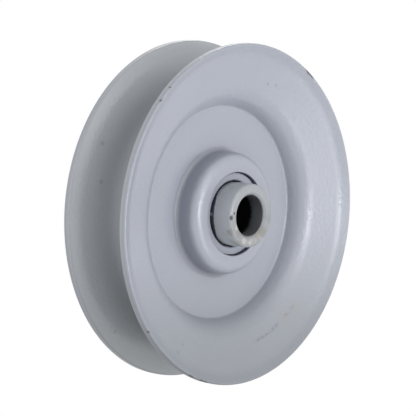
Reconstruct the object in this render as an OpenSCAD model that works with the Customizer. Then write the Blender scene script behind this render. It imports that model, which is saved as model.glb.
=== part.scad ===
// V-belt idler pulley: two pressed sheet-steel halves back to back on a sealed ball bearing.
// The pulley's centre is the origin, its axis lies along Y and the side that faces the viewer is -Y.

/* [Pulley halves] */
// Outside diameter over the rims
rim_d = 100; // [92:1:130]
// Width over both rims
rim_w = 24; // [21:0.5:27]
// Thickness of the pressed sheet
sheet_t = 2; // [1.6:0.1:2.4]
// Angle between the two faces of the belt groove
groove_angle = 30; // [26:1:38]
// Steepness of the step that joins the flat web to the flange
step_angle = 68; // [60:1:78]
// Radius of the wide bend at the top of the step, on the outer face
flange_bend_r = 9; // [6:0.1:10]
// Radius of the sharp bend at the edge of the web, on the outer face
web_bend_r = 0.8; // [0.4:0.1:1.5]
// Width of the straight flare along the rim
rim_flare = 1.7; // [1.2:0.1:3]
// Steepness of that flare
rim_flare_angle = 33; // [26:1:38]
// Radius of the bend into the flare, on the outer face
rim_flare_bend_r = 9; // [6:0.5:12]
// Radius on the rim's two edges
rim_edge_r = 0.5; // [0.2:0.1:0.7]

/* [Bearing cup] */
// Diameter of the round hole in each cup
cup_hole_d = 24.4; // [23:0.1:26]
// Radius on the edge of that hole, on the outer face
cup_hole_edge_r = 0.3; // [0.1:0.1:0.6]
// Radius of the cup's shoulder, on the outer face
cup_shoulder_r = 3.4; // [3.2:0.1:4]
// Radius where the cup rises from the web, on the outer face
cup_foot_r = 1.3; // [0.8:0.1:2]

/* [Bearing] */
// Outside diameter of the bearing
bearing_d = 32; // [31:0.5:35]
// Width of the outer ring
bearing_w = 14; // [13:0.5:16]
// Bore for the mounting bolt
bore_d = 12; // [10:0.1:12.7]
// Outside diameter of the long inner ring
hub_d = 18.6; // [18:0.1:19.2]
// Length of the long inner ring
hub_len = 30; // [28:0.5:36]
// Chamfer on the hub's outer edges
hub_chamfer = 0.6; // [0.3:0.1:1]
// Chamfer at each end of the bore
bore_chamfer = 0.8; // [0.3:0.1:1.2]
// Ball diameter
ball_d = 5.953; // [5:0.001:6.35]
// Depth of both raceways below the rings' shoulders
race_depth = 1.28; // [1:0.01:1.5]
// Wall of the outer ring under its raceway
race_wall = 2; // [1.6:0.1:2.4]

/* [Seals and cage] */
// Thickness of each seal
seal_t = 1.4; // [1:0.1:1.8]
// How far each seal sits below the outer ring's face
seal_inset = 0.3; // [0.1:0.1:0.6]
// Thickness of the cage strip
cage_t = 0.6; // [0.4:0.05:0.7]
// Shank diameter of the cage rivets
rivet_d = 0.9; // [0.7:0.05:1]

/* [Fits] */
// Play between a ball and each raceway
ball_play = 0.03; // [0.01:0.01:0.05]
// Gap between a seal's lip and the hub
lip_gap = 0.06; // [0.03:0.01:0.1]
// Gap between a ball and its cage pocket
pocket_gap = 0.12; // [0.08:0.01:0.2]
// Gap around a seal's bead in its groove
bead_gap = 0.02; // [0.01:0.01:0.05]

/* [Hidden] */
$fn = 96;
small_fn = 32;
rim_r = rim_d / 2;
flank_angle = groove_angle / 2;

// The cup is sized by the bearing that it holds.
cup_h = bearing_w / 2 + sheet_t;
cup_r = bearing_d / 2 + sheet_t;

// Bends of the cup, as centres in the section [radius, height]
arc_step = 6;
shoulder_centre = [cup_r - cup_shoulder_r, cup_h - cup_shoulder_r];
foot_centre = [cup_r + cup_foot_r, sheet_t + cup_foot_r];

// The flared rim ends at the full radius and width, and its edge is trimmed parallel to the axis.
rim_corner = [rim_r - rim_edge_r, rim_w / 2 - rim_edge_r];
rim_trim = (sheet_t - 2 * rim_edge_r) / cos(rim_flare_angle);
flare_normal = polar(rim_flare_angle + 90);
flare_start = rim_corner + rim_edge_r * flare_normal - rim_flare * polar(rim_flare_angle);
flare_bend_centre = flare_start + rim_flare_bend_r * flare_normal;

// The straight flank runs down until the bends below it can reach the web.
flank_normal = polar(flank_angle + 90);
flank_top = flare_bend_centre - rim_flare_bend_r * flank_normal;
step_bend_rise = flange_bend_r * (cos(flank_angle) - cos(step_angle));
web_bend_rise = web_bend_r * (1 - cos(step_angle));
flank_rise = flank_top[1] - step_bend_rise - web_bend_rise - sheet_t;
flank_foot = flank_top - flank_rise / sin(flank_angle) * polar(flank_angle);
step_bend_centre = flank_foot - flange_bend_r * flank_normal;
web_bend_centre = step_bend_centre + (flange_bend_r + web_bend_r) * polar(step_angle + 90);

// Bearing: the balls run midway between the bottoms of the two raceways.
ball_count = 7;
ball_r = ball_d / 2;
pitch_r = (hub_d / 2 - race_depth + bearing_d / 2 - race_wall) / 2;
race_conformity = 0.525;
race_r = race_conformity * ball_d;
outer_shoulder_r = pitch_r + ball_r - race_depth;
corner_gap = 0.1;
ring_edge_r = cup_shoulder_r - sheet_t + corner_gap;

// Seals: a bead snaps into a groove in the outer ring, and a lip that slants inwards runs on the hub.
seal_face_h = bearing_w / 2 - seal_inset;
seal_root_h = seal_face_h - seal_t;
seal_seat_depth = 0.5;
seal_seat_r = outer_shoulder_r + seal_seat_depth;
bead_depth = 0.6;
bead_r = seal_seat_r + bead_depth;
bead_w = 1;
bead_t = 0.75;
washer_t = seal_t / 2;
lip_r = hub_d / 2 + lip_gap;
lip_w = 0.8;
lip_drop = 0.3;
lip_tip_t = 0.25;

// Cage: two pressed strips, riveted between the balls
cage_gap = 0.55;
cage_r_in = hub_d / 2 + cage_gap;
cage_r_out = outer_shoulder_r - cage_gap;
rivet_circle_r = (cage_r_in + cage_r_out) / 2;
pocket_r = ball_r + pocket_gap;
ball_step = 360 / ball_count;
rivet_head_rim = 0.35;
rivet_head_d = rivet_d + 2 * rivet_head_rim;
rivet_head_h = 0.35;

paint_grey = [0.68, 0.70, 0.75];
steel_bright = [0.74, 0.74, 0.75];
steel_dull = [0.55, 0.55, 0.56];

// Stands the axis along Y, so that what points up here points to the front.
module on_axis() {
    rotate([90, 0, 0])
        children();
}

// Turns a front piece round to the rear side of the pulley.
module to_rear() {
    rotate([0, 0, 180])
        children();
}

// A direction in the section, as a unit vector.
function polar(angle) = [cos(angle), sin(angle)];

// Points along an arc. Where it goes on from another arc, the point that they share is skipped.
function arc(centre, radius, a_start, a_end, skip = 0) =
    let (steps = ceil(abs(a_end - a_start) / arc_step))
    [for (k = [skip : steps]) centre + radius * polar(a_start + (a_end - a_start) * k / steps)];

// One face of the pressed sheet from the cup's lip to the rim, at a depth below the outer face.
function sheet_face(depth) = concat(
    arc(shoulder_centre, cup_shoulder_r - depth, 90, 0),
    arc(foot_centre, cup_foot_r + depth, 180, 270),
    arc(web_bend_centre, web_bend_r + depth, 270, 270 + step_angle),
    arc(step_bend_centre, flange_bend_r - depth, 90 + step_angle, 90 + flank_angle, 1),
    arc(flare_bend_centre, rim_flare_bend_r + depth, 270 + flank_angle, 270 + rim_flare_angle)
);

function reversed(points) = [for (k = [len(points) - 1 : -1 : 0]) points[k]];

// One pressed half: cup lip, cup wall, flat web, step, groove flank and flared rim.
module pressed_half() {
    hole_r = cup_hole_d / 2;
    hole_edge = [hole_r + cup_hole_edge_r, cup_h - cup_hole_edge_r];
    outer_face = concat(arc(hole_edge, cup_hole_edge_r, 180, 90), sheet_face(0));
    groove_face = concat([[hole_r, cup_h - sheet_t]], sheet_face(sheet_t));
    rim_edge = concat(
        arc(rim_corner, rim_edge_r, 90 + rim_flare_angle, 0),
        arc(rim_corner - [0, rim_trim], rim_edge_r, 0, rim_flare_angle - 90)
    );
    color(paint_grey)
        on_axis()
            rotate_extrude()
                polygon(concat(outer_face, rim_edge, reversed(groove_face)));
}

module front_half() {
    pressed_half();
}

module rear_half() {
    to_rear()
        pressed_half();
}

// Section of a plain ring with its raceway.
module ring_with_race(r_in, r_out, width, race_centre_r) {
    difference() {
        translate([r_in, -width / 2])
            square([r_out - r_in, width]);
        translate([race_centre_r, 0])
            circle(r = race_r);
    }
}

// Outer ring: rounded outside corners, and a seat and groove for a seal at each end.
module outer_ring() {
    color(steel_bright)
        on_axis()
            rotate_extrude()
                difference() {
                    ring_with_race(
                        outer_shoulder_r, bearing_d / 2, bearing_w, pitch_r + ball_r + ball_play - race_r
                    );
                    for (end = [0, 1])
                        mirror([0, end]) {
                            ring_corner();
                            seal_seat();
                        }
                }
}

// What the rounding takes off the outer ring's corner.
module ring_corner() {
    translate([bearing_d / 2 - ring_edge_r, bearing_w / 2 - ring_edge_r])
        difference() {
            square(2 * ring_edge_r);
            circle(r = ring_edge_r);
        }
}

// The recess at one end of the outer ring that takes a seal.
module seal_seat() {
    translate([pitch_r, seal_root_h - bead_gap]) {
        square([seal_seat_r - pitch_r, bearing_w]);
        square([bead_r + bead_gap - pitch_r, bead_t + 2 * bead_gap]);
    }
}

// Long inner ring: the bolt clamps its ends, and it stands out past both rims.
module hub() {
    color(paint_grey)
        on_axis()
            rotate_extrude()
                difference() {
                    ring_with_race(bore_d / 2, hub_d / 2, hub_len, pitch_r - ball_r - ball_play + race_r);
                    for (end = [0, 1])
                        mirror([0, end])
                            hub_end_chamfers();
                }
}

// What the chamfers take off one end of the hub.
module hub_end_chamfers() {
    end_h = hub_len / 2;
    polygon([
        [hub_d / 2 - hub_chamfer, end_h],
        [hub_d / 2, end_h - hub_chamfer],
        [hub_d / 2 + hub_chamfer, end_h]
    ]);
    polygon([
        [bore_d / 2 + bore_chamfer, end_h],
        [bore_d / 2, end_h - bore_chamfer],
        [bore_d / 2 - bore_chamfer, end_h]
    ]);
}

// Seal: a washer with a bead at its outer edge and a slanted lip on the hub.
module seal() {
    edge_r = seal_seat_r - bead_gap;
    washer_h = seal_face_h - washer_t;
    color(paint_grey)
        on_axis()
            rotate_extrude()
                polygon([
                    [lip_r, washer_h - lip_drop + lip_tip_t],
                    [lip_r + lip_w, seal_face_h],
                    [edge_r, seal_face_h],
                    [edge_r, seal_root_h + bead_t],
                    [bead_r, seal_root_h + bead_t],
                    [bead_r, seal_root_h],
                    [bead_r - bead_w, seal_root_h],
                    [bead_r - bead_w - bead_t, washer_h],
                    [lip_r + lip_w, washer_h],
                    [lip_r, washer_h - lip_drop]
                ]);
}

module front_seal() {
    seal();
}

module rear_seal() {
    to_rear()
        seal();
}

// Places one child at a ball's angle, with the first ball at the top.
module at_ball(i, r = pitch_r) {
    rotate([0, 0, 90 + (i - 1) * ball_step])
        translate([r, 0, 0])
            children();
}

module ball(i) {
    color(steel_bright)
        on_axis()
            at_ball(i)
                sphere(r = ball_r, $fn = small_fn);
}

// One strip of the cage: flat between the balls, pressed into a half cup round each ball.
module cage_strip() {
    cup_out_r = pocket_r + cage_t;
    color(steel_dull)
        on_axis()
            difference() {
                intersection() {
                    union() {
                        cylinder(r = cage_r_out, h = cage_t);
                        for (i = [1 : ball_count])
                            at_ball(i)
                                sphere(r = cup_out_r, $fn = small_fn);
                    }
                    rotate_extrude()
                        translate([cage_r_in, 0])
                            square([cage_r_out - cage_r_in, cup_out_r]);
                }
                for (i = [1 : ball_count]) {
                    at_ball(i)
                        sphere(r = pocket_r, $fn = small_fn);
                    at_ball(i + 0.5, rivet_circle_r)
                        cylinder(d = rivet_d, h = 3 * cage_t, center = true, $fn = small_fn);
                }
            }
}

module cage_front() {
    cage_strip();
}

module cage_rear() {
    to_rear()
        cage_strip();
}

// Rivets that hold the two strips together, one between each pair of balls.
module cage_rivets() {
    color(steel_dull)
        on_axis()
            for (i = [1 : ball_count])
                at_ball(i + 0.5, rivet_circle_r) {
                    cylinder(d = rivet_d, h = 2 * cage_t, center = true, $fn = small_fn);
                    for (end = [0, 1])
                        mirror([0, 0, end])
                            translate([0, 0, cage_t])
                                cylinder(d = rivet_head_d, h = rivet_head_h, $fn = small_fn);
                }
}

front_half();
rear_half();
outer_ring();
hub();
front_seal();
rear_seal();
cage_front();
cage_rear();
cage_rivets();
for (i = [1 : ball_count])
    ball(i);
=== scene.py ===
# %% [markdown]
# # A pressed-steel idler pulley
# This lesson dresses a belt idler: two dished halves of pressed sheet steel, set back to back
# on a sealed ball bearing, and painted grey after they were joined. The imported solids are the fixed
# frame. They give every size and place here, and they are never moved.

# %% Load the frame
import math

import bpy
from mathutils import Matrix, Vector


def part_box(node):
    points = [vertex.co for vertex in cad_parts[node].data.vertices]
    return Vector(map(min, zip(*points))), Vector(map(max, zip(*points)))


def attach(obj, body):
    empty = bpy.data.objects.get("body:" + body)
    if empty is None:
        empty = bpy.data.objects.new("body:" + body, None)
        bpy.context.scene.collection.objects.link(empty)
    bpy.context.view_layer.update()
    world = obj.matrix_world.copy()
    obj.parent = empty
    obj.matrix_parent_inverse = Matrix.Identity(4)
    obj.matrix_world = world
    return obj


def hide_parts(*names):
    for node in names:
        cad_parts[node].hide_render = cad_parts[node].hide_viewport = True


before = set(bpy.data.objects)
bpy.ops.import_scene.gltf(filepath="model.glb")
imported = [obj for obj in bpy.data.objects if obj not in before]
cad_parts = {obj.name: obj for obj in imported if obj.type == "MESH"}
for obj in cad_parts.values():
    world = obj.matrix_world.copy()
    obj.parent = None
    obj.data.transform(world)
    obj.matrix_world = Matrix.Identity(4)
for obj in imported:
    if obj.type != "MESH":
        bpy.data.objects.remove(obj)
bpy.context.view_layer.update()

MM = 0.001
print("nodes:", sorted(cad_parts))

# %% [markdown]
# ## The camera
# The photograph was taken from the pulley's left, a little above its axis, with a long lens. A long
# lens far away flattens the picture, so the distance matters as much as the direction. The numbers
# were found by fitting the rims' ellipses, and the camera stands still for all later work.

# %% Place the camera
CAMERA_AZIMUTH = math.radians(-48.07)
CAMERA_ELEVATION = math.radians(7.36)
CAMERA_PLACE = Vector((-510.64, -456.66, 89.48)) * MM
CAMERA_LENS = 202.75
CAMERA_SENSOR = 36.0


def look_direction(azimuth, elevation):
    """The way from the object to a viewer who stands there."""
    flat = math.cos(elevation)
    return Vector((math.sin(azimuth) * flat, -math.cos(azimuth) * flat, math.sin(elevation)))


bpy.ops.object.select_all(action="DESELECT")
bpy.ops.object.camera_add(location=CAMERA_PLACE)
camera = bpy.context.object
camera.name = "photo_camera"
camera.data.lens = CAMERA_LENS
camera.data.sensor_width = CAMERA_SENSOR
camera_way = look_direction(CAMERA_AZIMUTH, CAMERA_ELEVATION)
camera.rotation_euler = camera_way.to_track_quat("Z", "Y").to_euler()
bpy.context.scene.camera = camera
print("camera stands", round(CAMERA_PLACE.length / MM), "mm from the pulley's centre")

# %% [markdown]
# ## The section of the sheet
# A pressing is one sheet of even thickness with bends. Its section is easiest to draw as one face made
# of arcs, and the other face is then the same arcs about the same centres with the thickness taken off
# or added. All points are pairs: the radius from the axis, and the height above the plane where the
# halves meet.

# %% Measure the frame
half_low, half_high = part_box("front_half")
_, ring_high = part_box("outer_ring")
rim_r = round(half_high.x / MM, 2)
rim_h = round(-half_low.y / MM, 2)
sheet = 2.0
cup_r = round(ring_high.x / MM, 2) + sheet
cup_h = round(ring_high.y / MM, 2) + sheet
hole_r = 12.2
hole_edge_r = 0.3
shoulder_bend = 3.4
foot_bend = 1.3
web_bend = 0.8
flange_bend = 9.0
flare_bend = 9.0
step_angle = 68.0
flank_angle = 15.0
flare_angle = 33.0
flare_length = 1.7
edge_r = 0.5
print("rim radius", rim_r, "and height", rim_h, "mm, cup radius", cup_r, "and height", cup_h, "mm")

# %% Find the centres of the bends
ARC_STEP = 5.0


def turned(angle):
    """A unit step in the section's plane, at an angle in degrees."""
    return Vector((math.cos(math.radians(angle)), math.sin(math.radians(angle))))


def arc(centre, radius, start, end, skip=0):
    """Points along an arc of the section, at most ARC_STEP degrees apart."""
    count = math.ceil(abs(end - start) / ARC_STEP)
    return [centre + radius * turned(start + (end - start) * k / count) for k in range(skip, count + 1)]


flare_up = turned(flare_angle + 90)
rim_corner = Vector((rim_r - edge_r, rim_h - edge_r))
rim_trim = Vector((0, (sheet - 2 * edge_r) / turned(flare_angle).x))
flare_start = rim_corner + edge_r * flare_up - flare_length * turned(flare_angle)
flare_centre = flare_start + flare_bend * flare_up
flank_top = flare_centre - flare_bend * turned(flank_angle + 90)
flange_rise = flange_bend * (turned(flank_angle).x - turned(step_angle).x)
web_rise = web_bend * (1 - turned(step_angle).x)
flank_length = (flank_top.y - flange_rise - web_rise - sheet) / turned(flank_angle).y
flank_foot = flank_top - flank_length * turned(flank_angle)
flange_centre = flank_foot - flange_bend * turned(flank_angle + 90)
web_centre = flange_centre + (flange_bend + web_bend) * turned(step_angle + 90)
shoulder_centre = Vector((cup_r - shoulder_bend, cup_h - shoulder_bend))
foot_centre = Vector((cup_r + foot_bend, sheet + foot_bend))
print("flat web from radius", round(foot_centre.x, 2), "to", round(web_centre.x, 2), "mm")

# %% Draw the outline of one half
def sheet_face(depth):
    """One face of the sheet from the cup to the rim, at a depth below the outer face."""
    return (
        arc(shoulder_centre, shoulder_bend - depth, 90, 0)
        + arc(foot_centre, foot_bend + depth, 180, 270)
        + arc(web_centre, web_bend + depth, 270, 270 + step_angle)
        + arc(flange_centre, flange_bend - depth, 90 + step_angle, 90 + flank_angle, skip=1)
        + arc(flare_centre, flare_bend + depth, 270 + flank_angle, 270 + flare_angle)
    )


hole_edge = Vector((hole_r + hole_edge_r, cup_h - hole_edge_r))
half_outline = (
    arc(hole_edge, hole_edge_r, 180, 90)
    + sheet_face(0)
    + arc(rim_corner, edge_r, 90 + flare_angle, 0)
    + arc(rim_corner - rim_trim, edge_r, 0, flare_angle - 90)
    + sheet_face(sheet)[::-1]
    + [Vector((hole_r, cup_h - sheet))]
)
print("points in the half's section:", len(half_outline))

# %% [markdown]
# ## Turning a section into a solid
# Round pieces can be made from cylinders, or by extruding a ring again and again. Spinning a drawn
# section about the axis is the surest way, because each bend keeps its radius all round. The start is a
# small plane that is merged to one point. The point is then extruded from corner to corner, and the
# closed line is spun.

# %% A helper that spins a section
SPIN_STEPS = 240
WELD_DISTANCE = MM / 1000


def spin_section(name, outline):
    """Spins a closed section, in millimetres, about the axis, with its height towards the viewer."""
    places = [Vector((p.x, -p.y, 0)) * MM for p in outline]
    places.append(places[0])
    bpy.ops.object.select_all(action="DESELECT")
    bpy.ops.mesh.primitive_plane_add(size=MM, location=(0, 0, 0))
    piece = bpy.context.object
    piece.name = name
    bpy.ops.object.mode_set(mode="EDIT")
    bpy.ops.mesh.select_all(action="SELECT")
    bpy.ops.mesh.merge(type="CENTER")
    bpy.ops.transform.translate(value=places[0])
    for here, there in zip(places, places[1:]):
        bpy.ops.mesh.extrude_vertices_move(TRANSFORM_OT_translate={"value": there - here})
    bpy.ops.mesh.select_all(action="SELECT")
    bpy.ops.mesh.remove_doubles(threshold=WELD_DISTANCE)
    bpy.ops.mesh.spin(steps=SPIN_STEPS, angle=math.tau, center=(0, 0, 0), axis=(0, 1, 0))
    bpy.ops.mesh.select_all(action="SELECT")
    bpy.ops.mesh.remove_doubles(threshold=WELD_DISTANCE)
    bpy.ops.mesh.normals_make_consistent(inside=False)
    bpy.ops.object.mode_set(mode="OBJECT")
    return piece


# %% Helpers that round, shade and copy a piece
ROUNDING_SEGMENTS = 3
FLAT_FACE_WEIGHT = 90


def select_alone(piece):
    """Selects one piece and makes it the active one."""
    bpy.ops.object.select_all(action="DESELECT")
    piece.select_set(True)
    bpy.context.view_layer.objects.active = piece


def finish_shading(piece, bevel=0.0):
    """Rounds the sharp edges a little, if asked, and lets the flat faces rule the smooth shading."""
    select_alone(piece)
    if bevel:
        bpy.ops.object.modifier_add(type="BEVEL")
        rounding = piece.modifiers[-1]
        rounding.width = bevel * MM
        rounding.segments = ROUNDING_SEGMENTS
        rounding.limit_method = "ANGLE"
        bpy.ops.object.modifier_apply(modifier=rounding.name)
    bpy.ops.object.shade_smooth()
    bpy.ops.object.modifier_add(type="WEIGHTED_NORMAL")
    weighting = piece.modifiers[-1]
    weighting.weight = FLAT_FACE_WEIGHT
    bpy.ops.object.modifier_apply(modifier=weighting.name)
    print(piece.name, "has", len(piece.data.polygons), "faces")


def copy_to_rear(piece, name):
    """A copy with its own mesh, turned half round to the pulley's other side."""
    select_alone(piece)
    bpy.ops.object.duplicate(linked=False)
    rear = bpy.context.object
    rear.name = name
    bpy.ops.transform.rotate(value=math.pi, orient_axis="Z", center_override=(0, 0, 0))
    bpy.ops.object.transform_apply(location=True, rotation=True, scale=True)
    return rear


# %% [markdown]
# ## The two pressed halves
# Both halves come from one press tool, so the second is the first turned round. The rims carry the
# belt's groove between them, and the cups in the middle hold the bearing. The solids have the same
# section with fewer, flat-sided bands, so the spun halves stand for them and only bring smoother bends.

# %% Spin the front half and turn a copy to the rear
front_pressing = spin_section("front_pressing", half_outline)
finish_shading(front_pressing)
rear_pressing = copy_to_rear(front_pressing, "rear_pressing")
for piece, node in ((front_pressing, "front_half"), (rear_pressing, "rear_half")):
    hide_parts(node)
    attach(piece, "pulley")

# %% [markdown]
# ## The bearing's long inner ring
# The thick tube in the middle is the bearing's inner ring. It is longer than the pulley is wide, so
# that a bolt clamps only this ring while the rest turns. Its ends are rounded by wear, and the balls
# run in a round groove at mid-length. A plain cylinder would do for what shows, but spinning it like
# the halves gives the groove a true arc too.

# %% Spin the tube
_, hub_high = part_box("hub")
ball_low, ball_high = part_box("ball_1")
tube_r = round(hub_high.x / MM, 2)
tube_h = round(hub_high.y / MM, 2)
bore_r = 6.0
tube_rounding = 0.9
bore_chamfer = 0.8
tube_edge = 0.12
ball_r = round((ball_high.y - ball_low.y) / MM / 2, 3)
ball_circle_r = round((ball_low.z + ball_high.z) / MM / 2, 2)
race_to_ball = 1.05
race_r = race_to_ball * ball_r
race_centre = Vector((ball_circle_r + race_r - ball_r, 0))
race_half_angle = math.degrees(math.acos((race_centre.x - tube_r) / race_r))
tube_outline = (
    [Vector((bore_r, -tube_h + bore_chamfer)), Vector((bore_r, tube_h - bore_chamfer))]
    + [Vector((bore_r + bore_chamfer, tube_h))]
    + arc(Vector((tube_r, tube_h)) - tube_rounding * Vector((1, 1)), tube_rounding, 90, 0)
    + arc(race_centre, race_r, 180 - race_half_angle, 180 + race_half_angle)
    + arc(Vector((tube_r, -tube_h)) + tube_rounding * Vector((-1, 1)), tube_rounding, 0, -90)
    + [Vector((bore_r + bore_chamfer, -tube_h))]
)
inner_tube = spin_section("inner_tube", tube_outline)
finish_shading(inner_tube, bevel=tube_edge)
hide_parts("hub")
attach(inner_tube, "hub")

# %% [markdown]
# ## The seals
# A rubber-faced washer closes each side of the bearing. Its bead snaps into the outer ring, its face
# stands up in the cup's hole as a low crown, and its thin lip dips towards the tube. The dip, with the
# painted shadow on the tube's foot, makes the dark line round the tube. A flat disc would be quicker,
# but only a drawn section catches the light at the crown and the lip.

# %% Spin the front seal and turn a copy to the rear
seal_low, seal_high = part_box("front_seal")
seal_top = round(-seal_low.y / MM, 2)
seal_root = round(-seal_high.y / MM, 2)
seal_r = round(seal_high.x / MM, 2)
bead_depth = 0.62
bead_t = 0.75
bead_w = 1.0
bead_slope = 0.7
lip_gap = 0.06
lip_w = 0.8
lip_dip = 0.75
lip_rise = 0.4
crown_gap = 0.15
crown_rise = 1.15
seal_edge = 0.1
neck_r = seal_r - bead_depth
bead_in_r = seal_r - bead_w
hollow_r = bead_in_r - bead_slope
bead_top = seal_root + bead_t
lip_r = tube_r + lip_gap
crown_r = hole_r - crown_gap
crown_top = seal_top + crown_rise
seal_outline = [
    Vector((lip_r, crown_top - lip_dip)),
    Vector((lip_r + lip_w, crown_top)),
    Vector((crown_r, crown_top)),
    Vector((crown_r, seal_top)),
    Vector((neck_r, seal_top)),
    Vector((neck_r, bead_top)),
    Vector((seal_r, bead_top)),
    Vector((seal_r, seal_root)),
    Vector((bead_in_r, seal_root)),
    Vector((hollow_r, bead_top)),
    Vector((lip_r + lip_w, bead_top)),
    Vector((lip_r, seal_root + lip_rise)),
]
front_dust_seal = spin_section("front_dust_seal", seal_outline)
finish_shading(front_dust_seal, bevel=seal_edge)
rear_dust_seal = copy_to_rear(front_dust_seal, "rear_dust_seal")
for piece, node in ((front_dust_seal, "front_seal"), (rear_dust_seal, "rear_seal")):
    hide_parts(node)
    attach(piece, "pulley")

# %% [markdown]
# ## Shader sums in plain Python
# A paint or a worn edge is mostly arithmetic on masks. Wiring each sum by hand hides it, so one small
# class wraps a socket and turns plus, minus and times into Math nodes. One method makes every other
# node.

# %% A class for shader wires
class Wire:
    """A node's output socket. Sums of wires add Math nodes to the same tree."""

    def __init__(self, socket):
        self.socket = socket
        self.tree = socket.id_data

    def new(self, kind, settings=None, inputs=None, output=0):
        """Adds a node: its settings first, then the values or links of its inputs."""
        node = self.tree.nodes.new(kind)
        for key, value in (settings or {}).items():
            setattr(node, key, value)
        for key, value in (inputs or {}).items():
            if isinstance(value, Wire):
                self.tree.links.new(value.socket, node.inputs[key])
            else:
                node.inputs[key].default_value = value
        return Wire(node.outputs[output])

    def maths(self, operation, first, second=0.0):
        return self.new("ShaderNodeMath", {"operation": operation}, {0: first, 1: second})

    def __add__(self, other):
        return self.maths("ADD", self, other)

    def __radd__(self, other):
        return self.maths("ADD", other, self)

    def __sub__(self, other):
        return self.maths("SUBTRACT", self, other)

    def __rsub__(self, other):
        return self.maths("SUBTRACT", other, self)

    def __mul__(self, other):
        return self.maths("MULTIPLY", self, other)

    def __rmul__(self, other):
        return self.maths("MULTIPLY", other, self)

    def __abs__(self):
        return self.maths("ABSOLUTE", self)

    def __or__(self, other):
        """The larger of two values, or the stronger of two masks."""
        return self.maths("MAXIMUM", self, other)

    def __and__(self, other):
        """The smaller of two values."""
        return self.maths("MINIMUM", self, other)

    def between(self, low, high):
        """0 at low and beyond, 1 at high and beyond, and smooth in between. Low may be the larger."""
        start, end = min(low, high), max(low, high)
        to_start, to_end = (0.0, 1.0) if low < high else (1.0, 0.0)
        inputs = {"Value": self, "From Min": start, "From Max": end, "To Min": to_start, "To Max": to_end}
        return self.new("ShaderNodeMapRange", {"interpolation_type": "SMOOTHSTEP"}, inputs)

    def tint(self, under, over):
        """Mixes two colours, with this wire as the share of the second."""
        return self.new("ShaderNodeMix", {"data_type": "RGBA"}, {0: self, 6: under, 7: over}, output=2)

    def noise(self, scale, detail=2.0):
        """Cloudy noise on this wire's coordinates, from 0 to 1."""
        return self.new("ShaderNodeTexNoise", {}, {"Vector": self, "Scale": scale, "Detail": detail})

    def axis(self, name):
        """One of the coordinates."""
        return self.new("ShaderNodeSeparateXYZ", {}, {0: self}, output=name)

    def radius(self):
        """The distance from the pulley's axis."""
        flat = self.new("ShaderNodeVectorMath", {"operation": "MULTIPLY"}, {0: self, 1: (1, 0, 1)})
        return self.new("ShaderNodeVectorMath", {"operation": "LENGTH"}, {0: flat}, output="Value")

    def clock(self):
        """The angle round the axis in degrees, from the top to the viewer's right."""
        return self.maths("ARCTAN2", self.axis("X"), self.axis("Z")) * math.degrees(1)

    def near(self, point):
        """The distance from a point."""
        ends = {0: self, 1: point}
        return self.new("ShaderNodeVectorMath", {"operation": "DISTANCE"}, ends, output="Value")


# %% Helpers for materials
def strongest(masks):
    """The strongest of several masks at each place."""
    cover, *others = masks
    for mask in others:
        cover = cover | mask
    return cover


def new_material(name):
    """An empty material, its shader node, and its object coordinates in millimetres."""
    material = bpy.data.materials.new(name)
    material.use_nodes = True
    nodes = material.node_tree.nodes
    metres = Wire(nodes.new("ShaderNodeTexCoord").outputs["Object"])
    place = metres.new("ShaderNodeVectorMath", {"operation": "SCALE"}, {0: metres, "Scale": 1 / MM})
    return material, nodes["Principled BSDF"], place


def feed(shader, **sockets):
    """Sets constants and links wires on the shader's own sockets."""
    for name, value in sockets.items():
        socket = shader.inputs[name.replace("_", " ")]
        if isinstance(value, Wire):
            value.tree.links.new(value.socket, socket)
        else:
            socket.default_value = value


def wear(material, *pieces):
    """Gives pieces one material alone."""
    for piece in pieces:
        piece.data.materials.clear()
        piece.data.materials.append(material)
    print(material.name, "has", len(material.node_tree.nodes), "nodes, on", len(pieces), "pieces")


def srgb(red, green, blue):
    """A colour as a picture editor shows it, 0 to 255, made linear for a shader."""
    shares = [value / 255 for value in (red, green, blue)]
    return (*[((c + 0.055) / 1.055) ** 2.4 if c > 0.04045 else c / 12.92 for c in shares], 1.0)


# %% [markdown]
# ## Grey paint
# The pulley was sprayed after assembly with a bluish light grey. Sprayed paint is never flat: it dries
# with a fine orange-peel skin, its tone drifts a little, and it is a bit rougher where it went on dry.
# These layers are the same on every painted piece, so one function makes them and each piece adds its
# own marks.

# %% The layers that all painted pieces share
PAINT = srgb(174, 179, 192)
PAINT_DULL = srgb(169, 173, 185)
PAINT_GLOSS = 0.98
PAINT_ROUGH = 0.26
DRY_SPRAY_ROUGH = 0.06
PEEL_DEPTH = 0.00011
PAINT_TO_PEEL = 3.0


def paint_layers(place, fresh=PAINT, dull=PAINT_DULL):
    """The sound paint's colour, roughness and skin height."""
    drift = place.noise(scale=0.05)
    peel = place.noise(scale=0.9)
    return drift.tint(fresh, dull), PAINT_ROUGH + DRY_SPRAY_ROUGH * drift, peel


def skin(peel, bare):
    """The paint's orange peel as a bump, sunk by the paint's thickness where the paint is gone."""
    inputs = {"Strength": 1.0, "Distance": PEEL_DEPTH, "Height": peel - PAINT_TO_PEEL * bare}
    return peel.new("ShaderNodeBump", {}, inputs)


print("paint as linear colour", [round(c, 3) for c in PAINT[:3]])

# %% [markdown]
# ## Chips and scuffs on the pressed halves
# Belts and tools have chipped the rims down to brown steel in a few places, and thin scuffs run along
# the lower dish. Such marks could be painted by hand on an unwrapped image. Here each mark is a place
# with a size on the pulley itself, so it stays sharp from near and turns with the piece.

# %% Helpers that place marks
SPOT_RAGGED = 0.6
SPOT_REACH = 1.4
SPOT_CORE = 0.6
RIM_MARK_BACK = 0.8
RIM_MARK_FRONT = 0.4


def spots(place, marks):
    """A mask of ragged round marks, each a place and a radius."""
    ragged = 1.0 + SPOT_RAGGED * (place.noise(scale=1.3, detail=3.0) - 0.5)
    away = [(ragged * place.near(centre), size) for centre, size in marks]
    return strongest([gap.between(SPOT_REACH * size, SPOT_CORE * size) for gap, size in away])


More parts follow.
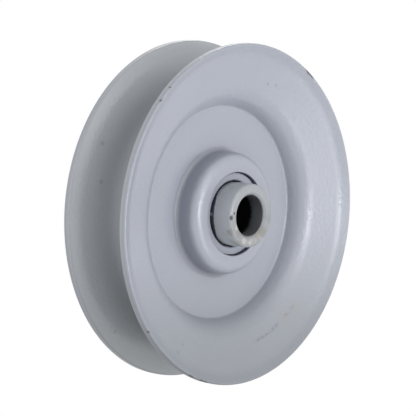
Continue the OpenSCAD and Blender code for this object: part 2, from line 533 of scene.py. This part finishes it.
def at_clock(radius, angle, height):
    """A place on the front: the radius, the clock angle in degrees and the height towards the viewer."""
    turn = math.radians(angle)
    return (radius * math.sin(turn), -height, radius * math.cos(turn))


def on_dish(marks):
    """Places on the dish's outer face, from each mark's radius, clock angle and size."""
    face = [point for point in sheet_face(0) if point.x > cup_r]
    placed = []
    for radius, angle, size in marks:
        here, there = next(pair for pair in zip(face, face[1:]) if pair[0].x <= radius < pair[1].x)
        height = here.y + (there.y - here.y) * (radius - here.x) / (there.x - here.x)
        placed.append((at_clock(radius, angle, height), size))
    return placed


def rim_marks(place, marks, depth):
    """Marks that reach in from the front rim's edge, each a clock angle and half its length in degrees."""
    wobble = place.noise(scale=1.2, detail=3.0) - 0.5
    edge = (place.radius() + 1.5 * depth * wobble).between(rim_r - depth, rim_r - 0.5 * depth)
    front = place.axis("Y").between(RIM_MARK_BACK - rim_h, RIM_MARK_FRONT - rim_h)
    clock = place.clock() + 1.5 * wobble
    lengths = [abs(clock - angle).between(1.2 * half, 0.7 * half) for angle, half in marks]
    return strongest(lengths) * edge * front


# %% Chips, smudges, stains and scuffs
RIM_CHIPS = [(36.9, 2.8)]
RIM_SPECKS = [(-153.0, 1.1), (-158.5, 0.9), (-160.6, 0.8), (-38.6, 0.4), (-44.4, 0.4), (-125.8, 0.4)]
CHIP_DEPTH = 0.8
SPECK_DEPTH = 0.4
SPECK_SHARE = 0.75
DISH_SMUDGES = [(45.5, -145.0, 0.6), (42.5, -146.8, 0.5), (40.0, 21.8, 0.5), (40.9, 26.4, 0.5)]
GROOVE_SMUDGES = [((-38.6, 7.6, 22.6), 0.7), ((-39.9, 6.8, 11.7), 0.6), ((-33.2, 8.2, -32.5), 0.6)]
SMUDGE_SHARE = 0.3
DISH_STAINS = [(41.5, 139.0, 2.2), (40.5, 146.0, 1.8)]
STAIN_SHARE = 0.22
SCUFF_R = 40.5
SCUFFS = [(149.0, 168.0, 0.5), (137.0, 148.0, 0.35)]
SCUFF_FADE = 4.0
SCUFF_WIDTHS = (0.8, 0.15)
SCUFF_BREAKS = (0.38, 0.56)
FRONT_SIDE = (0.0, -1.0)
WANDER = 1.6

grey_paint, shader, place = new_material("grey_paint")
radius, clock = place.radius(), place.clock()
across, along, up = (place.axis(name) for name in "XYZ")
bare = rim_marks(place, RIM_CHIPS, CHIP_DEPTH) | SPECK_SHARE * rim_marks(place, RIM_SPECKS, SPECK_DEPTH)
smudged = SMUDGE_SHARE * spots(place, on_dish(DISH_SMUDGES) + GROOVE_SMUDGES)
stained = STAIN_SHARE * spots(place, on_dish(DISH_STAINS))
wander = WANDER * (place.noise(scale=0.12) - 0.5)
strokes = strongest([
    share * clock.between(begin, begin + SCUFF_FADE) * clock.between(end, end - SCUFF_FADE)
    for begin, end, share in SCUFFS
])
scuff_track = abs(radius - SCUFF_R + wander).between(*SCUFF_WIDTHS) * along.between(*FRONT_SIDE)
scuffed = strokes * scuff_track * place.noise(scale=0.8, detail=3.0).between(*SCUFF_BREAKS)
print("marks on the rim:", len(RIM_CHIPS + RIM_SPECKS), "and scuffs on the dish:", len(SCUFFS))
print("smudges:", len(DISH_SMUDGES + GROOVE_SMUDGES), "and stains:", len(DISH_STAINS))

# %% [markdown]
# ## Painted shade, grime and dust on the pressed halves
# Painted shade darkens the cup's foot on the left, the step on the right, the lower half, the groove
# towards its bottom, the wall of the cup's hole and the trimmed edge below. The groove is also dusty from
# belts. An image could carry all this, but it would need unwrapping. Here each layer is a soft mask over
# the piece's own coordinates, and a pair of numbers tells where the mask begins and where it is full. The
# groove's side of the sheet is told from the outer side by its height, because it lies below the middle
# of the section.

# %% Masks of grime and dust
FOOT_SHADE_R = foot_centre.x - 0.9
STEP_SHADE_R = web_centre.x + 1.4
LOWER_SHADE_SHARE = 0.56
LOWER_SHADE_HEIGHTS = (0.0, -48.0)
LOWER_SHADE_DEPTHS = (8.0, 0.0)
LOWER_HEIGHTS = (5.0, -40.0)
BELOW_MIDDLE = (0.0, -0.7)
GROOVE_BOTTOM_SHARE = 0.35
GROOVE_BOTTOM_RADII = (46.0, 39.0)
GROOVE_LOWER_SHARE = 0.45
RIM_EDGE_RADII = (rim_r - 0.5, rim_r - 0.15)
FLARE_RADII = (46.8, 47.8)
HOLE_WALL_SHARE = 0.85
HOLE_WALL_RADII = (hole_r + 0.3, hole_r + 0.05)


def corner_shade(ring_r, width, share, clean_x, dirty_x):
    """A ring of painted shade with its radius, half width and share, which fades out from one side to the
    other.
    """
    ring = abs(radius - ring_r + 0.4 * wander).between(width, 0.3 * width)
    return share * ring * across.between(clean_x, dirty_x)


def sheet_middle(radius):
    """The height of the sheet's middle from the step to the rim, as straight lines that touch its bends."""
    def line(centre, bend, start, angle):
        touch = centre + bend * turned(start + angle)
        return (radius - touch.x) * math.tan(math.radians(angle)) + touch.y

    flange_middle_r = flange_bend - sheet / 2
    step = line(flange_centre, flange_middle_r, 90, step_angle)
    bend = line(flange_centre, flange_middle_r, 90, (step_angle + flank_angle) / 2)
    flank = line(flange_centre, flange_middle_r, 90, flank_angle)
    flare = line(flare_centre, flare_bend + sheet / 2, 270, flare_angle)
    return step & bend & (flank | flare)


# Painted shade: the cup's foot is darkened on the left and the step on the right, where shade falls.
foot_shade = corner_shade(FOOT_SHADE_R, width=1.5, share=0.5, clean_x=8.0, dirty_x=0.0)
step_shade = corner_shade(STEP_SHADE_R, width=1.8, share=0.22, clean_x=-5.0, dirty_x=20.0)
shaded_corners = foot_shade | step_shade
# Painted shade: the front half gets darker towards the bottom.
lower_shade = LOWER_SHADE_SHARE * up.between(*LOWER_SHADE_HEIGHTS) * along.between(*LOWER_SHADE_DEPTHS)
lower = up.between(*LOWER_HEIGHTS)
in_groove = (abs(along) - sheet_middle(radius)).between(*BELOW_MIDDLE)
groove_bottom = radius.between(*GROOVE_BOTTOM_RADII)
# Painted shade: the groove darkens towards its bottom, where the front flange shades it, and towards the
# pulley's bottom.
groove_shade = in_groove * (GROOVE_BOTTOM_SHARE * groove_bottom + GROOVE_LOWER_SHARE * lower)
rim_edge = radius.between(*RIM_EDGE_RADII)
flare_band = radius.between(*FLARE_RADII)
# Painted shade on the wall of the cup's hole.
hole_wall = HOLE_WALL_SHARE * radius.between(*HOLE_WALL_RADII)
print("grime rings at radius", round(FOOT_SHADE_R, 2), "and", round(STEP_SHADE_R, 2), "mm")

# %% Lay the wear over the paint
DUST = srgb(186, 190, 193)
GRIME_AND_SHADE = srgb(120, 124, 126)
STAINED = srgb(160, 157, 142)
SHADE_AND_SMUDGE = srgb(104, 108, 117)
SHADED_EDGE = srgb(50, 54, 70)
BARE = srgb(72, 64, 58)
DUST_SHARE = 0.7
EDGE_GRIME_SHARE = 0.32
FLARE_GRIME_SHARE = 0.06
LOWER_EDGE_SHARE = 0.35
BARE_SHARE = 0.85
BARE_ROUGH = 0.35
CORNER_ROUGH = 0.2
FLARE_ROUGH = 0.1
LOWER_SHADE_ROUGH = 0.5

colour, rough, peel = paint_layers(place)
# Painted shade on the lower half and in the groove, with grime on the rim's edge and the flare.
shade_and_grime = lower_shade | groove_shade | EDGE_GRIME_SHARE * rim_edge | FLARE_GRIME_SHARE * flare_band
colour = (DUST_SHARE * in_groove).tint(colour, DUST)
colour = shade_and_grime.tint(colour, GRIME_AND_SHADE)
colour = stained.tint(colour, STAINED)
# Painted shade in the corners, with the real smudges and scuffs in the same grey.
colour = (shaded_corners | smudged | scuffed).tint(colour, SHADE_AND_SMUDGE)
colour = (hole_wall | LOWER_EDGE_SHARE * lower * rim_edge).tint(colour, SHADED_EDGE)
colour = (BARE_SHARE * bare).tint(colour, BARE)
rough = rough + BARE_ROUGH * bare + CORNER_ROUGH * shaded_corners
rough = rough + FLARE_ROUGH * flare_band + LOWER_SHADE_ROUGH * lower_shade
feed(shader, Base_Color=colour, Roughness=rough, Normal=skin(peel, bare))
feed(shader, Specular_IOR_Level=PAINT_GLOSS)
wear(grey_paint, front_pressing, rear_pressing)

# %% [markdown]
# ## The tube's worn end
# The bolt's washer has rubbed the end of the tube: paint is chipped off at its edge, worn pale in
# places, stained and smeared below, and gone in the bore. The end is also darker, most at its lower
# side, partly from grime and partly as painted shade. Deep in the bore the steel is painted near black
# as painted shadow, and a dark ring on the tube's foot in the seal, widest on the left, is the painted
# shadow of the cup's edge. The marks are placed like those on the halves.

# %% Marks on the tube
def on_end(marks):
    """Places on the tube's front end, from each mark's radius, clock angle and size."""
    return [(at_clock(radius, angle, tube_h), size) for radius, angle, size in marks]


def on_side(marks):
    """Places on the tube's side, from each mark's clock angle, height and size."""
    return [(at_clock(tube_r, angle, height), size) for angle, height, size in marks]


END_CHIPS = on_end([(8.8, -88.5, 0.6), (7.65, -79.3, 0.3)])
END_PALE = on_end([(7.9, -175.0, 0.6), (7.8, -154.5, 0.9), (7.0, -114.3, 0.8)])
END_STAINS = on_end([(6.7, 157.6, 0.9), (6.8, 145.0, 0.8), (6.7, 134.2, 0.7)])
SIDE_STAINS = on_side([(-118.0, tube_h - 1.2, 1.1), (-142.0, tube_h - 1.9, 1.2)])
LIP_FLECK = on_side([(-85.2, 7.5, 0.5)])
print("marks on the tube:", len(END_CHIPS + END_PALE + END_STAINS + SIDE_STAINS + LIP_FLECK))

# %% Masks of the tube's wear
RUBBED_HEIGHTS = (tube_h - 0.9, tube_h - 0.5)
RUBBED_LOWER = (3.0, -6.0)
RUBBED_BREAKS = (0.4, 0.7)
END_DARKENING_SHARE = 0.25
END_DARKENING_HEIGHTS = (tube_h - 1.0, tube_h - 0.3)
END_DARKENING_LOWER = (6.0, -4.0)
SMEAR_HEIGHTS = (tube_h - 3.0, tube_h - 1.5)
SMEAR_LOWER = (2.0, -5.0)
SMEAR_BREAKS = (0.5, 0.62)
SHADOWED_SIDE = (-6.0, -tube_r)
LIP_SHADOW_HEIGHTS = (7.75, 7.45)
LIP_SHADOW_RAGGED = 0.6
LIP_FLECK_SHARE = 0.7
BORE_RADII = (bore_r + 0.35, bore_r + 0.1)
BORE_RAGGED = 0.25
BORE_SHADOW_HEIGHTS = (tube_h - 4.0, tube_h - 6.0)

tube_paint, shader, place = new_material("tube_paint")
across, along, up = (place.axis(name) for name in "XYZ")
height = abs(along)
ragged = place.noise(scale=1.5, detail=3.0) - 0.5
rubbed = height.between(*RUBBED_HEIGHTS) * up.between(*RUBBED_LOWER)
rubbed = rubbed * place.noise(scale=0.7, detail=4.0).between(*RUBBED_BREAKS)
# The end is darker, most at its lower side: partly grime, partly painted shade.
end_grime_and_shade = END_DARKENING_SHARE * (1.0 + up.between(*END_DARKENING_LOWER)) * height.between(*END_DARKENING_HEIGHTS)
smears = height.between(*SMEAR_HEIGHTS) * up.between(*SMEAR_LOWER)
smears = smears * place.noise(scale=0.45, detail=4.0).between(*SMEAR_BREAKS)
# Painted shadow of the cup's edge on the tube's foot, widest on the left side.
shadow_height = height + LIP_SHADOW_RAGGED * ragged - across.between(*SHADOWED_SIDE)
painted_fleck = LIP_FLECK_SHARE * spots(place, LIP_FLECK)
lip_shadow = shadow_height.between(*LIP_SHADOW_HEIGHTS) * (1.0 - painted_fleck)
chips = spots(place, END_CHIPS)
bore = (place.radius() + BORE_RAGGED * ragged).between(*BORE_RADII)
# Painted shadow: the bore goes near black beyond a few millimetres in.
bore_shadow = (height + ragged).between(*BORE_SHADOW_HEIGHTS)
print("unpainted ring fades from height", LIP_SHADOW_HEIGHTS[1], "to", LIP_SHADOW_HEIGHTS[0], "mm")

# %% The tube's finish
# The tube's own greyer tone, made lighter than the halves' paint as painted light on its side.
LIT_TUBE_GREY = srgb(181, 186, 194)
LIT_TUBE_DULL = srgb(175, 180, 184)
PALE = srgb(204, 200, 198)
LIP_SHADOW_COLOUR = srgb(58, 62, 76)
SMEARED = srgb(112, 110, 98)
BORE_STEEL = srgb(146, 149, 154)
BORE_SHADOW = srgb(7, 7, 8)
RUBBED_SHARE = 0.35
PALE_SHARE = 0.7
END_STAIN_SHARE = 0.75
SIDE_STAIN_SHARE = 0.45
SMEAR_SHARE = 0.35
WORN_ROUGH = 0.3
RUBBED_ROUGH = 0.5

colour, rough, peel = paint_layers(place, LIT_TUBE_GREY, LIT_TUBE_DULL)
pale = RUBBED_SHARE * rubbed | PALE_SHARE * spots(place, END_PALE)
stained = END_STAIN_SHARE * spots(place, END_STAINS) | SIDE_STAIN_SHARE * spots(place, SIDE_STAINS)
colour = end_grime_and_shade.tint(colour, GRIME_AND_SHADE)
colour = pale.tint(colour, PALE)
colour = stained.tint(colour, STAINED)
colour = lip_shadow.tint(colour, LIP_SHADOW_COLOUR)
colour = (SMEAR_SHARE * smears).tint(colour, SMEARED)
colour = chips.tint(colour, BARE)
colour = bore.tint(colour, bore_shadow.tint(BORE_STEEL, BORE_SHADOW))
rough = rough + WORN_ROUGH * (chips | bore | lip_shadow | RUBBED_ROUGH * rubbed)
feed(shader, Base_Color=colour, Roughness=rough, Metallic=bore, Normal=skin(peel, chips))
feed(shader, Specular_IOR_Level=PAINT_GLOSS)
wear(tube_paint, inner_tube)

# %% [markdown]
# ## The seals' paint and rubber
# Spray reached only the open ring of each seal. Its lip at the tube, and its outer edge under the cup's
# hole, stayed dark rubber. A noise on the radius makes the paint's border ragged, as spray leaves it.

# %% The seals' finish
RUBBER = srgb(44, 47, 58)
RUBBER_ROUGH = 0.25
SPRAY_RAGGED = 0.5
LIP_RADII = (lip_r + 0.6 * lip_w, lip_r + 0.3 * lip_w)
CROWN_EDGE_RADII = (crown_r - 0.1, crown_r + 0.1)

seal_paint, shader, place = new_material("seal_paint")
colour, rough, peel = paint_layers(place)
radius = place.radius() + SPRAY_RAGGED * (place.noise(scale=0.8, detail=3.0) - 0.5)
rubber = radius.between(*LIP_RADII) | radius.between(*CROWN_EDGE_RADII)
rough = rough + RUBBER_ROUGH * rubber
feed(shader, Base_Color=rubber.tint(colour, RUBBER), Roughness=rough, Normal=skin(peel, rubber))
wear(seal_paint, front_dust_seal, rear_dust_seal)

# %% [markdown]
# ## Bearing steel
# Rings and balls are ground bright, and the cage strips are pressed from dull sheet. None of them shows
# while the seals are in, but each has its own finish, so that the bearing looks right when it is opened.
# These pieces keep the solids' own shapes.

# %% Steel finishes
def steel(name, bright, dull, smooth, rough, streak_scale):
    """Bare steel with fine streaks between two roughnesses, and a slight stain."""
    material, shader, place = new_material(name)
    streaks = place.noise(scale=streak_scale, detail=4.0)
    stain = place.noise(scale=0.22).between(0.4, 0.7)
    roughness = smooth + (rough - smooth) * streaks
    feed(shader, Base_Color=stain.tint(bright, dull), Roughness=roughness, Metallic=1.0)
    return material


ground_bright, ground_dull = srgb(205, 206, 208), srgb(186, 187, 189)
strip_bright, strip_dull = srgb(160, 160, 162), srgb(132, 132, 134)
bearing_steel = steel("bearing_steel", ground_bright, ground_dull, smooth=0.12, rough=0.3, streak_scale=2.4)
cage_steel = steel("cage_steel", strip_bright, strip_dull, smooth=0.3, rough=0.5, streak_scale=1.5)
shown = {name: node for name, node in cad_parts.items() if not node.hide_render}
wear(cage_steel, *[node for name, node in shown.items() if name.startswith("cage")])
wear(bearing_steel, *[node for name, node in shown.items() if not name.startswith("cage")])

# %% [markdown]
# ## Floor
# The photograph has a plain white ground. A pale floor lies well below the pulley. A floor that glows
# would be white everywhere, but it would also light the pulley from below. So it glows only to the
# camera and in clear reflections: most of the way near the pulley, which keeps a faint shadow, and
# fully far away, so that its border does not show. To all other rays it is an ordinary matt floor.

# %% Lay the floor
FLOOR_Z = -0.50
FLOOR_SIZE = 2.8
FLOOR_COLOUR = srgb(235, 235, 235)
FLOOR_ROUGH = 0.9
FLOOR_GLOW = 0.75
FADE_START = 0.3
FADE_END = 1.2
WHITE = (1.0, 1.0, 1.0, 1.0)


def seen_directly(tree):
    """A mask of the rays that show a background: from the camera, off gloss and through glass."""
    path = tree.nodes.new("ShaderNodeLightPath").outputs
    return strongest([Wire(path[f"Is {kind} Ray"]) for kind in ("Camera", "Glossy", "Transmission")])


bpy.ops.object.select_all(action="DESELECT")
bpy.ops.mesh.primitive_plane_add(size=FLOOR_SIZE, location=(0, 0, FLOOR_Z))
floor = bpy.context.object
floor.name = "floor"
bpy.ops.object.transform_apply(location=True, rotation=True, scale=True)

floor_paint, matt, place = new_material("floor_paint")
feed(matt, Base_Color=FLOOR_COLOUR, Roughness=FLOOR_ROUGH)
seen = seen_directly(floor_paint.node_tree)
away = place.near((0, 0, FLOOR_Z / MM)).between(FADE_START / MM, FADE_END / MM)
glow_share = seen * (FLOOR_GLOW + (1 - FLOOR_GLOW) * away)
glow = seen.new("ShaderNodeEmission", {}, {"Color": WHITE, "Strength": 1.0})
both = seen.new("ShaderNodeMixShader", {}, {0: glow_share, 1: Wire(matt.outputs[0]), 2: glow})
feed(floor_paint.node_tree.nodes["Material Output"], Surface=both)
wear(floor_paint, floor)

# %% [markdown]
# ## Lamps
# The highlights on the bends show one main soft lamp straight before the pulley. A broader one beside
# it, one above and one below fill the dish. Lamps at the left light the groove and the cup's shoulder,
# and one behind keeps the rear from going dark. All stand at one distance and are set by direction, size
# and power, because direction and size are what a highlight shows.

# %% Place the lamps
LAMP_DISTANCE = 0.9


def soft_lamp(name, azimuth, elevation, size, power):
    """A square soft lamp that faces the pulley's centre from a direction in degrees."""
    way = look_direction(math.radians(azimuth), math.radians(elevation))
    bpy.ops.object.select_all(action="DESELECT")
    bpy.ops.object.light_add(type="AREA", location=LAMP_DISTANCE * way)
    lamp = bpy.context.object
    lamp.name = name
    lamp.data.size = size
    lamp.data.energy = power
    lamp.rotation_euler = way.to_track_quat("Z", "Y").to_euler()
    print(name, "has", power, "W")


soft_lamp("front_lamp", azimuth=1, elevation=1, size=0.2, power=1.2)
soft_lamp("front_fill", azimuth=12, elevation=0, size=0.4, power=0.65)
soft_lamp("upper_lamp", azimuth=0, elevation=27, size=0.5, power=1.0)
soft_lamp("low_lamp", azimuth=18, elevation=-22, size=0.4, power=0.75)
soft_lamp("left_lamp", azimuth=-70, elevation=5, size=0.15, power=0.35)
soft_lamp("left_fill", azimuth=-95, elevation=26, size=0.5, power=1.4)
soft_lamp("left_low_fill", azimuth=-80, elevation=-20, size=0.5, power=0.7)
soft_lamp("top_lamp", azimuth=0, elevation=80, size=0.5, power=0.2)
soft_lamp("rear_fill", azimuth=120, elevation=45, size=0.4, power=2.7)

# %% [markdown]
# ## Surroundings
# The room gives an even grey light. A white room would be simpler, but its light would wash out the
# shading. So only the camera and clear reflections see it as white, like the far floor, and matt
# surfaces get the grey light.

# %% Light the room
SKY_LIGHT = 0.5

world = bpy.data.worlds.new("studio")
bpy.context.scene.world = world
world.use_nodes = True
room = world.node_tree.nodes["Background"]
feed(room, Color=WHITE, Strength=SKY_LIGHT)
seen = seen_directly(world.node_tree)
white = seen.new("ShaderNodeBackground", {}, {"Color": WHITE, "Strength": 1.0})
sky = seen.new("ShaderNodeMixShader", {}, {0: seen, 1: Wire(room.outputs[0]), 2: white})
feed(world.node_tree.nodes["World Output"], Surface=sky)
bpy.context.scene.view_settings.view_transform = "Standard"
print("room light", SKY_LIGHT)
